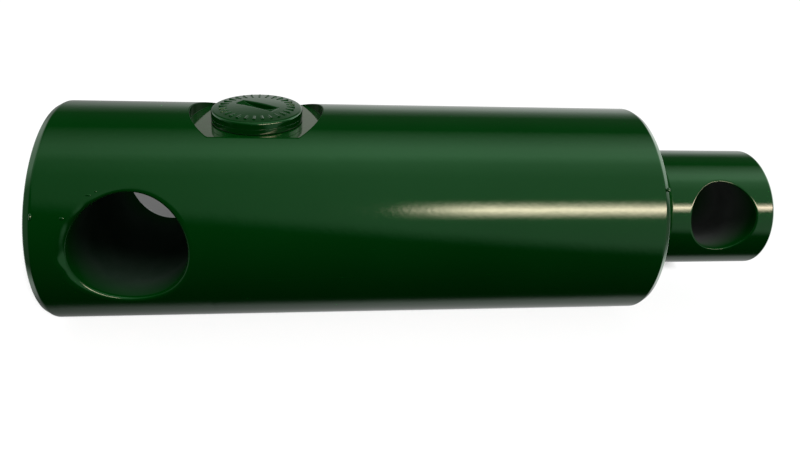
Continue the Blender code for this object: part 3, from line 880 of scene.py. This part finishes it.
def slotted_plug():
    """Screw plug: crowned head with a coin slot, rounded rim and the core that its thread is wound on."""
    skin = Skin()
    reach = math.sqrt(SLOT_DISC_RADIUS ** 2 - (SLOT_DISC_RADIUS - SLOT_DEPTH) ** 2) + SLOT_MARGIN
    along = np.linspace(-reach, reach, SLOT_ROWS)
    cuts = np.array([slot_cut(place) for place in along])
    along = np.repeat(along[:, None], SLOT_SAMPLES, axis=1)
    across, sunk = cuts[..., 0], cuts[..., 1]
    turn = np.arctan2(across, along)
    radius = np.hypot(along, across)
    skin.add(upright(radius, PLUG_TOP - crown(radius) + sunk, turn - SLOT_TURN), closed=False)
    rim = [(0, slice(None, -1)), (slice(None, -1), -1), (-1, slice(None, 0, -1)), (slice(None, 0, -1), 0)]
    rim_turn = np.concatenate([turn[side] for side in rim])
    rim_radius = np.concatenate([radius[side] for side in rim])
    flat = PLUG_RADIUS - HEAD_ROUND
    share = np.linspace(0, 1, HEAD_ROWS)[:, None]
    rings = rim_radius + (flat - rim_radius) * share
    skin.add(upright(rings, PLUG_TOP - crown(rings), rim_turn - SLOT_TURN))
    edge = PLUG_TOP - crown(flat)
    quarter = np.linspace(0, math.pi / 2, HEAD_ROWS)[:, None]
    rounded = upright(
        flat + HEAD_ROUND * np.sin(quarter), edge - HEAD_ROUND * (1 - np.cos(quarter)), rim_turn - SLOT_TURN
    )
    skin.add(rounded)
    side = eased([
        (edge - HEAD_ROUND, PLUG_RADIUS, 0),
        (HEAD_LOW, PLUG_RADIUS, 0.0001),
        (HEAD_LOW, SHANK_CORE, 0),
    ])
    skin.add(upright(side[:, 1, None], side[:, 0, None], rim_turn - SLOT_TURN))
    shank = eased([
        (HEAD_LOW, SHANK_CORE, 0),
        (PLUG_FOOT, SHANK_CORE, EDGE_BREAK),
        (PLUG_FOOT, 0, 0),
    ])
    skin.add(upright(shank[:, 1, None], shank[:, 0, None], rim_turn - SLOT_TURN), 1)
    return skin


def geometry_tree(name, **sizes):
    """An empty geometry tree, what adds its nodes, and its named inputs."""
    tree = bpy.data.node_groups.new(name, "GeometryNodeTree")
    tree.interface.new_socket("Geometry", in_out="OUTPUT", socket_type="NodeSocketGeometry")
    for size, kind in sizes.items():
        tree.interface.new_socket(size, in_out="INPUT", socket_type=kind)
    add = partial(add_node, tree)
    return tree, add, add("NodeGroupInput").outputs


def finish_tree(add, geometry, material):
    """Ends a geometry tree: real geometry with its material."""
    real = add("GeometryNodeRealizeInstances", {0: geometry}).outputs[0]
    smooth = add("GeometryNodeSetShadeSmooth", {0: real}).outputs[0]
    finished = add("GeometryNodeSetMaterial", {"Geometry": smooth, "Material": material}).outputs[0]
    add("NodeGroupOutput", {0: finished})


def grown_piece(name, tree, **sizes):
    """Runs a geometry tree with these sizes, and keeps the result as a plain mesh."""
    piece = bpy.data.objects.new(name, bpy.data.meshes.new(f"{name}_seed"))
    scene.collection.objects.link(piece)
    growth = piece.modifiers.new("growth", "NODES")
    growth.node_group = tree
    for socket in tree.interface.items_tree:
        if socket.in_out == "INPUT":
            growth[socket.identifier] = sizes[socket.name]
    evaluated = piece.evaluated_get(bpy.context.evaluated_depsgraph_get())
    mesh = bpy.data.meshes.new_from_object(evaluated)
    mesh.name = name
    piece.modifiers.remove(growth)
    piece.data = mesh
    return piece


def thread_tree(material):
    """A rounded ridge wound round the plug's shank."""
    tree, add, size = geometry_tree(
        "pipe_thread",
        radius="NodeSocketFloat",
        turns="NodeSocketFloat",
        height="NodeSocketFloat",
        ridge="NodeSocketFloat",
        foot="NodeSocketVector",
    )
    spiral = add(
        "GeometryNodeCurveSpiral",
        {
            "Resolution": 64,
            "Rotations": size["turns"],
            "Start Radius": size["radius"],
            "End Radius": size["radius"],
            "Height": size["height"],
        },
    )
    section = add("GeometryNodeCurvePrimitiveCircle", {"Resolution": 8, "Radius": size["ridge"]})
    wound = add(
        "GeometryNodeCurveToMesh",
        {"Curve": spiral.outputs[0], "Profile Curve": section.outputs[0], "Fill Caps": True},
    )
    placed = add(
        "GeometryNodeTransform",
        {"Geometry": wound.outputs[0], "Translation": size["foot"], "Rotation": (PORT_TURN, 0.0, 0.0)},
    )
    finish_tree(add, placed.outputs[0], material)
    return tree


def tick_tree(material):
    """A ring of plain raised ticks, each pointing at the middle."""
    tree, add, size = geometry_tree(
        "raised_ticks",
        count="NodeSocketInt",
        radius="NodeSocketFloat",
        length="NodeSocketVector",
        thickness="NodeSocketFloat",
        centre="NodeSocketVector",
    )
    ring = add("GeometryNodeMeshCircle", {"Vertices": size["count"], "Radius": size["radius"]}).outputs[0]
    place = add("GeometryNodeInputPosition").outputs[0]
    outwards = add("FunctionNodeAlignRotationToVector", {"Vector": place}, axis="X").outputs[0]
    line = add("GeometryNodeCurvePrimitiveLine", {"End": size["length"]}).outputs[0]
    section = add(
        "GeometryNodeCurvePrimitiveCircle", {"Resolution": 10, "Radius": size["thickness"]}
    ).outputs[0]
    tick = add(
        "GeometryNodeCurveToMesh", {"Curve": line, "Profile Curve": section, "Fill Caps": True}
    ).outputs[0]
    ticks = add(
        "GeometryNodeInstanceOnPoints",
        {"Points": ring, "Instance": tick, "Rotation": outwards, "Scale": (1.0, 1.0, 0.6)},
    ).outputs[0]
    placed = add(
        "GeometryNodeTransform",
        {"Geometry": ticks, "Translation": size["centre"], "Rotation": (PORT_TURN, 0.0, 0.0)},
    ).outputs[0]
    finish_tree(add, placed, material)
    return tree


def studio_camera():
    data = bpy.data.cameras.new("photograph")
    data.sensor_width = SENSOR_WIDTH
    data.lens = FOCAL_PIXELS * SENSOR_WIDTH / IMAGE_WIDTH
    data.shift_y = CAMERA_SHIFT
    data.clip_start = 0.01
    camera = bpy.data.objects.new("photograph", data)
    scene.collection.objects.link(camera)
    flat = math.cos(CAMERA_ELEVATION)
    back = Vector((
        math.sin(CAMERA_AZIMUTH) * flat,
        -math.cos(CAMERA_AZIMUTH) * flat,
        math.sin(CAMERA_ELEVATION),
    ))
    camera.matrix_world = (
        Matrix.Translation(CAMERA_AIM + back * CAMERA_DISTANCE)
        @ back.to_track_quat("Z", "Y").to_matrix().to_4x4()
        @ Matrix.Rotation(CAMERA_ROLL, 4, "Z")
    )
    scene.camera = camera


# Brightness of the studio round the object's axis: degrees from straight up, towards the near side
STUDIO_ROUND = (
    (-180, 0.0),
    (-174, 0.03),
    (-164, 0.4),
    (-136, 0.45),
    (-100, 0.68),
    (-73, 0.8),
    (-60, 0.35),
    (-50, 0.08),
    (-24, 0.04),
    (-12, 0.7),
    (2, 1.55),
    (11, 1.7),
    (21, 1.0),
    (36, 0.7),
    (170, 0.66),
    (180, 0.0),
)

# A dark table in front hides what is below its edge, which rises towards the left
TABLE_EDGE = (math.radians(80), math.radians(98))
TABLE_LEAN = math.radians(65)

# The left of the studio is dimmer, and both ends of it are an even grey
LEFT_DIMMING = (-0.4, 0.1, 0.42)
END_FADE = (0.8, 0.97)
END_GREY = (0.3, 0.3, 0.3, 1.0)

# A window at the right and a pale wall at the left: where each begins and is full, and its level. Both fade
# out towards the near side
RIGHT_WINDOW = (0.55, 0.85, 2.4)
LEFT_WALL = (-0.55, -0.8, 1.1)
SIDE_REACH = (0.04, -0.12)

# A thin warm tube lamp in front, towards the right
TUBE_ANGLE = math.radians(71.9)
TUBE_SPREAD = math.radians(11.5)
TUBE_START = (0.09, 0.26)
TUBE_END = (0.93, 0.8)
TUBE_LIGHT = (54.0, 20.5, 27.0, 1.0)

# What lights surfaces without gloss
AMBIENT = (0.26, 0.26, 0.26, 1.0)


def studio_world():
    """White to the camera, a soft studio to glossy surfaces and an even dim light to the rest."""
    world = bpy.data.worlds.new("studio")
    scene.world = world
    world.use_nodes = True
    world.cycles.sampling_method = "NONE"
    tree = world.node_tree
    add = partial(add_node, tree)
    way = add("ShaderNodeTexCoord").outputs["Generated"]
    split = add("ShaderNodeSeparateXYZ", {0: way})
    right = split.outputs["X"]
    nearness = add("ShaderNodeMath", {0: split.outputs["Y"], 1: -1.0}, operation="MULTIPLY").outputs[0]
    angle = add("ShaderNodeMath", {0: nearness, 1: split.outputs["Z"]}, operation="ARCTAN2").outputs[0]
    share = add("ShaderNodeMapRange", {"Value": angle, "From Min": -math.pi, "From Max": math.pi}).outputs[0]
    stops = [((degrees + 180) / 360, (level, level, level, 1.0)) for degrees, level in STUDIO_ROUND]
    bands = add("ShaderNodeValToRGB", {0: share}, stops=stops).outputs[0]
    below_edge = add(
        "ShaderNodeMath", {0: right, 1: -TABLE_LEAN, 2: angle}, operation="MULTIPLY_ADD"
    ).outputs[0]
    above, below = TABLE_EDGE
    table = add(
        "ShaderNodeMapRange",
        {"Value": below_edge, "From Min": above, "From Max": below, "To Min": 1.0, "To Max": 0.0},
        interpolation_type="SMOOTHSTEP",
    ).outputs[0]
    dimming = add(
        "ShaderNodeMapRange",
        {"Value": right, "From Min": LEFT_DIMMING[0], "From Max": LEFT_DIMMING[1], "To Min": LEFT_DIMMING[2]},
    ).outputs[0]
    shade = add("ShaderNodeMath", {0: table, 1: dimming}, operation="MULTIPLY").outputs[0]
    room = add("ShaderNodeVectorMath", {0: bands, "Scale": shade}, operation="SCALE").outputs[0]
    from_middle = add("ShaderNodeMath", {0: right}, operation="ABSOLUTE").outputs[0]
    fade = add(
        "ShaderNodeMapRange", {"Value": from_middle, "From Min": END_FADE[0], "From Max": END_FADE[1]}
    ).outputs[0]
    room = add("ShaderNodeMix", {0: fade, 6: room, 7: END_GREY}, data_type="RGBA").outputs[2]
    beside = add(
        "ShaderNodeMapRange", {"Value": nearness, "From Min": SIDE_REACH[0], "From Max": SIDE_REACH[1]}
    ).outputs[0]
    for low, high, level in (RIGHT_WINDOW, LEFT_WALL):
        pane = add(
            "ShaderNodeMapRange",
            {"Value": right, "From Min": low, "From Max": high, "To Max": level},
            interpolation_type="SMOOTHSTEP",
        ).outputs[0]
        pane = add("ShaderNodeMath", {0: pane, 1: beside}, operation="MULTIPLY").outputs[0]
        room = add("ShaderNodeVectorMath", {0: room, 1: pane}).outputs[0]
    aside = add("ShaderNodeMath", {0: angle, 1: TUBE_ANGLE}, operation="SUBTRACT").outputs[0]
    aside = add("ShaderNodeMath", {0: aside}, operation="ABSOLUTE").outputs[0]
    tube = add(
        "ShaderNodeMapRange",
        {"Value": aside, "From Min": 0.0, "From Max": TUBE_SPREAD, "To Min": 1.0, "To Max": 0.0},
    ).outputs[0]
    lit = add("ShaderNodeMath", {0: tube, 1: 2.0}, operation="POWER").outputs[0]
    for dark, bright in (TUBE_START, TUBE_END):
        reach = add(
            "ShaderNodeMapRange",
            {"Value": right, "From Min": dark, "From Max": bright},
            interpolation_type="SMOOTHSTEP",
        ).outputs[0]
        lit = add("ShaderNodeMath", {0: lit, 1: reach}, operation="MULTIPLY").outputs[0]
    lamp = add(
        "ShaderNodeMix", {0: lit, 6: (0.0, 0.0, 0.0, 1.0), 7: TUBE_LIGHT}, data_type="RGBA"
    ).outputs[2]
    studio = add("ShaderNodeVectorMath", {0: room, 1: lamp}).outputs[0]
    paths = add("ShaderNodeLightPath").outputs
    dim = add(
        "ShaderNodeMix", {0: paths["Is Glossy Ray"], 6: AMBIENT, 7: studio}, data_type="RGBA"
    ).outputs[2]
    straight = add(
        "ShaderNodeMath", {0: paths["Is Camera Ray"], 1: paths["Is Transmission Ray"]}, operation="MAXIMUM"
    ).outputs[0]
    seen = add("ShaderNodeMix", {0: straight, 6: dim, 7: (1.0, 1.0, 1.0, 1.0)}, data_type="RGBA").outputs[2]
    tree.links.new(seen, tree.nodes["Background"].inputs["Color"])


def studio_lamp(name, way, energy, spread, linked, link_state):
    """A soft sun that lights only the linked collection, or all but it."""
    data = bpy.data.lights.new(name, "SUN")
    data.energy = energy
    data.angle = math.radians(spread)
    lamp = bpy.data.objects.new(name, data)
    lamp.rotation_euler = Vector(way).to_track_quat("Z", "Y").to_euler()
    lamp.visible_glossy = False
    lamp.light_linking.receiver_collection = linked
    linked.collection_objects[0].light_linking.link_state = link_state
    scene.collection.objects.link(lamp)


FLOOR_SPAN = 4.0
PAPER_GREY = (0.6, 0.6, 0.6, 1.0)

# Lamps: the way to each, its strength, its width in degrees, and whether it lights the paper or all but it
STUDIO_LAMPS = (
    ("soft_key", (0.12, -0.4, 0.9), 2.3, 40, "EXCLUDE"),
    ("paper_light", (0.3, -0.85, 0.45), 10.8, 11, "INCLUDE"),
)


def studio_floor():
    """White paper under the barrel, and the lamps: the paper's own throws the shadow back."""
    height = -BARREL_RADIUS
    mesh = bpy.data.meshes.new("floor")
    corners = [(x * FLOOR_SPAN, y * FLOOR_SPAN, height) for x, y in ((-1, -1), (1, -1), (1, 1), (-1, 1))]
    mesh.from_pydata(corners, [], [(0, 1, 2, 3)])
    floor = bpy.data.objects.new("floor", mesh)
    scene.collection.objects.link(floor)
    floor.visible_glossy = False
    floor.visible_diffuse = False
    material = bpy.data.materials.new("white_paper")
    material.use_nodes = True
    matte = {"Base Color": PAPER_GREY, "Roughness": 1.0, "Specular IOR Level": 0.0}
    set_inputs(material.node_tree.nodes["Principled BSDF"], matte)
    mesh.materials.append(material)
    for name, way, energy, spread, link_state in STUDIO_LAMPS:
        linked = bpy.data.collections.new(f"{name}_floor")
        linked.objects.link(floor)
        studio_lamp(name, way, energy, spread, linked, link_state)


studio_camera()
studio_world()
studio_floor()

enamel = green_enamel("green_gloss_enamel")
# Painted shade on the seat's wall, which reflects less (partly a thin dull coat), and a painted reflection on
# the seat's floor, which reflects more than enamel can
dull_shaded_wall_enamel = green_enamel("green_dull_shaded_wall_enamel", DULL_SHADED_WALL_IOR)
bright_floor_enamel = green_enamel("green_bright_floor_enamel", BRIGHT_FLOOR_IOR, BRIGHT_FLOOR_SHEEN)
base_bore = sprayed_bore("sprayed_base_bore", BARREL_RADIUS, "#142B1C", "#344038")
rod_bore = sprayed_bore("sprayed_rod_bore", ROD_RADIUS, "#3A3D3B", "#5E625F")
rod_finish = painted_chrome("chromed_rod", ROD_PAINT_LINE, ROD_GLOSS_LINE)
stage_finish = painted_chrome("chromed_stage", STAGE_PAINT_LINE, STAGE_PAINT_LINE)

# Honed and turned steel: grey, finely ringed
honed_steel = turned_metal("honed_steel", "#6E7072", "#8B8D8F", 0.3, 0.0005)
# Zinc-plated thread: pale, slightly yellow and dull
zinc_plate = turned_metal("zinc_plate", "#8C8B84", "#A9A79C", 0.38, 0.0006)
# Spring steel, blued: nearly black with a cold cast
blued_steel = turned_metal("blued_spring_steel", "#2A2C31", "#45474C", 0.36, 0.0005)
# Bearing bronze from the lathe: warm, with tool rings
bronze = turned_metal("turned_bronze", "#8A5E2C", "#B5854A", 0.32, 0.0005)
# Nitrile rubber: black, softly dull, finely pored
wiper_rubber = moulded("nitrile_rubber", "#141614", "#202320", 0.52, 0.0006)
o_ring_rubber = moulded("oiled_nitrile_cord", "#101110", "#1A1B1A", 0.4, 0.0006)
# Cast polyurethane: dense blue with a soft sheen
polyurethane = moulded("cast_polyurethane", "#1B4A86", "#285E9E", 0.34, 0.0008)
# Acetal: milky white, waxy
acetal = moulded("natural_acetal", "#D2CFC4", "#E2DFD4", 0.42, 0.0008)
# Phenolic resin over cotton cloth: red-brown, with the cloth's thread showing as a fine grain
cloth_resin = moulded("cloth_phenolic", "#7A3F22", "#99552F", 0.55, 0.0005)

RIDGE = 0.0006
THREAD_LENGTH = HEAD_LOW - PLUG_FOOT - 4 * RIDGE
TICK_COUNT = 28
TICK_RADIUS = 0.0108
TICK_LENGTH = 0.003
TICK_THICKNESS = 0.00055
TICK_HEIGHT = PLUG_TOP - crown(0.0125)
plug_thread = grown_piece(
    "plug_thread",
    thread_tree(zinc_plate),
    radius=SHANK_CORE,
    turns=THREAD_LENGTH / THREAD_PITCH,
    height=THREAD_LENGTH,
    ridge=RIDGE,
    foot=upright(0.0, PLUG_FOOT + 2 * RIDGE, 0.0).tolist(),
)
plug_ticks = grown_piece(
    "plug_ticks",
    tick_tree(enamel),
    count=TICK_COUNT,
    radius=TICK_RADIUS,
    length=(TICK_LENGTH, 0.0, 0.0),
    thickness=TICK_THICKNESS,
    centre=upright(0.0, TICK_HEIGHT, 0.0).tolist(),
)
# Finishes in order: enamel, honed bore, base pin bore, the seat's wall with painted shade, the seat's floor
# with a painted reflection
barrel_finishes = (enamel, honed_steel, base_bore, dull_shaded_wall_enamel, bright_floor_enamel)
pieces = (
    (painted_barrel().piece("painted_barrel", *barrel_finishes), "barrel", "green_enamel",
     ("base_block", "barrel_tube")),
    (paint_drops().piece("paint_drops", enamel), "barrel", "green_enamel", ()),
    (notched_gland().piece("notched_gland", enamel), "barrel", "green_enamel", ("barrel_gland",)),
    (rubber_wiper(MOUTH, STAGE_RADIUS).piece("barrel_wiper", wiper_rubber), "barrel", "wiper_rubber",
     ("gland_wiper",)),
    (chromed_stage().piece("chromed_stage", stage_finish), "stage", "ground_steel", ("stage_tube",)),
    (rubber_wiper(STAGE_FACE, ROD_RADIUS).piece("rod_wiper", wiper_rubber), "stage", "wiper_rubber",
     ("stage_wiper",)),
    (painted_rod().piece("painted_rod", rod_finish, rod_bore, turn=ROD_TURN), "rod", "green_enamel",
     ("rod",)),
    (sealing_washer().piece("sealing_washer", enamel), "plug_seal", "green_enamel", ("port_seal",)),
    (slotted_plug().piece("slotted_plug", enamel, zinc_plate), "plug", "green_enamel", ("port_plug",)),
    (plug_thread, "plug", "green_enamel", ()),
    (plug_ticks, "plug", "green_enamel", ()),
)
for piece, body, slot, nodes in pieces:
    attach(piece, body)
    if nodes:
        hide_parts(*nodes)

dressing = {
    o_ring_rubber: ("gland_o_ring",),
    cloth_resin: ("gland_guide_band", "stage_guide_band"),
    polyurethane: ("gland_lip_seal", "stage_lip_seal"),
    acetal: ("gland_backup_ring", "stage_backup_ring"),
    bronze: ("stage_guide_near", "stage_guide_far", "rod_guide_near", "rod_guide_far"),
    blued_steel: ("stage_snap_ring",),
}
for material, names in dressing.items():
    for name in names:
        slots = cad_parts[name].data.materials
        slots.clear()
        slots.append(material)
